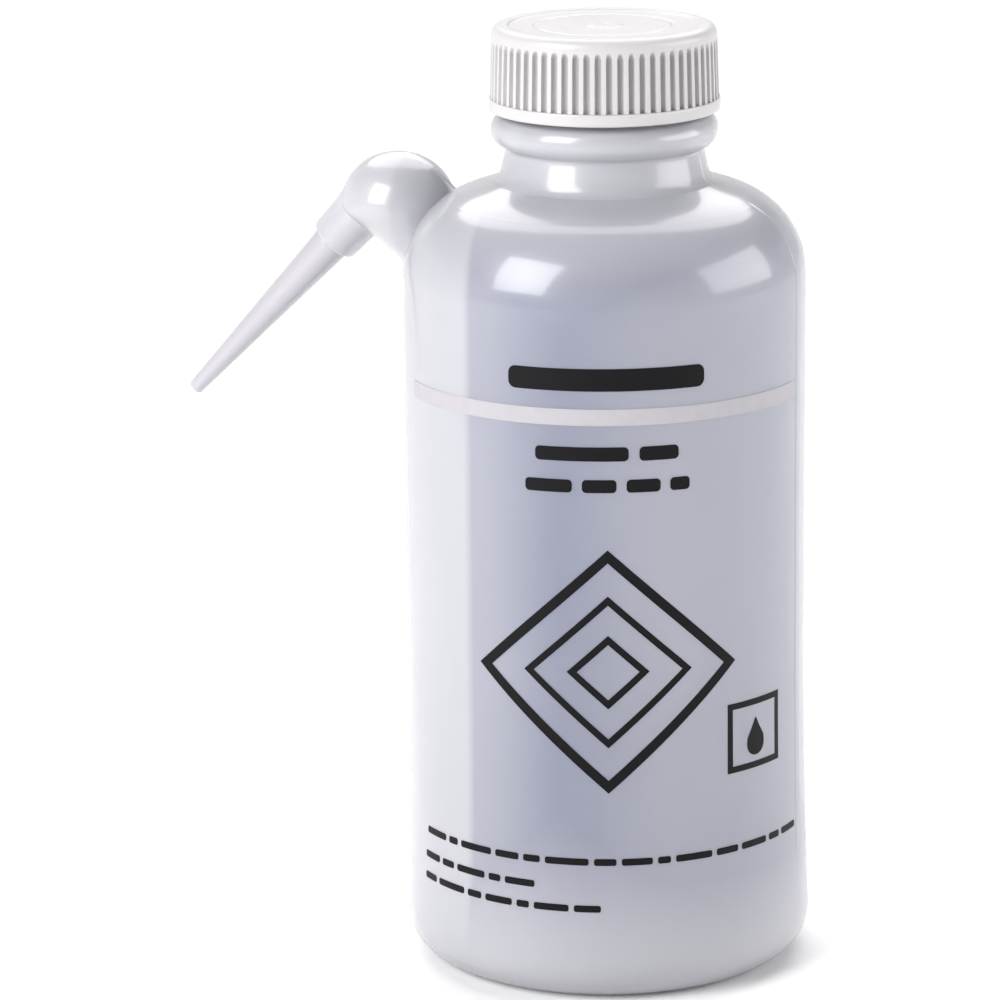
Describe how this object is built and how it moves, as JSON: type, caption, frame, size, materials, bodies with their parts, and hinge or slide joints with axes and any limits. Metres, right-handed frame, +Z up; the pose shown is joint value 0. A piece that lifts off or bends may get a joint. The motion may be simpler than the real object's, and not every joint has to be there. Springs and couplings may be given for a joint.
{
  "type": "laboratory wash bottle",
  "caption": "Squeezable wash bottle with a draw channel moulded into its side, a domed elbow, a push-in tapered nozzle and a grooved screw cap.",
  "frame": {"origin": "centre of the flat base, on the bottle's own axis", "axes": "+Z up along the bottle's axis, -X towards the nozzle, XZ is the mould's parting plane"},
  "size_m": [0.1225, 0.076, 0.1757],
  "materials": {
    "bottle_plastic": "translucent natural polyethylene, satin",
    "nozzle_plastic": "translucent natural polyethylene, satin",
    "cap_plastic": "opaque white polypropylene, semi-gloss",
    "liner_foam": "white expanded polyethylene foam"
  },
  "bodies": {
    "bottle": {"bottle_base": "bottle_plastic", "bottle_heel": "bottle_plastic", "bottle_wall": "bottle_plastic", "bottle_shoulder": "bottle_plastic", "neck_finish": "bottle_plastic", "channel_foot": "bottle_plastic", "draw_channel": "bottle_plastic", "elbow_funnel": "bottle_plastic", "elbow_dome": "bottle_plastic", "nozzle_socket": "bottle_plastic"},
    "liner": {"cap_liner": "liner_foam"},
    "cap": {"screw_cap": "cap_plastic"},
    "nozzle": {"nozzle": "nozzle_plastic"}
  },
  "joints": [
    {"name": "cap_lift", "type": "slide", "parent": "bottle", "child": "liner", "axis": [0, 0, 1], "range_m": [0, 0.0452]},
    {"name": "cap_turn", "type": "hinge", "parent": "liner", "child": "cap", "pos_m": [0, 0, 0.168], "axis": [0, 0, 1], "range_deg": [0, 3826.8]},
    {"name": "nozzle_pull", "type": "slide", "parent": "bottle", "child": "nozzle", "axis": [-0.6921, 0, -0.7218], "range_m": [0, 0.03]}
  ],
  "couplings": [
    {"joint": "cap_lift", "follows": "cap_turn", "m_per_rad": 0.00067376}
  ]
}
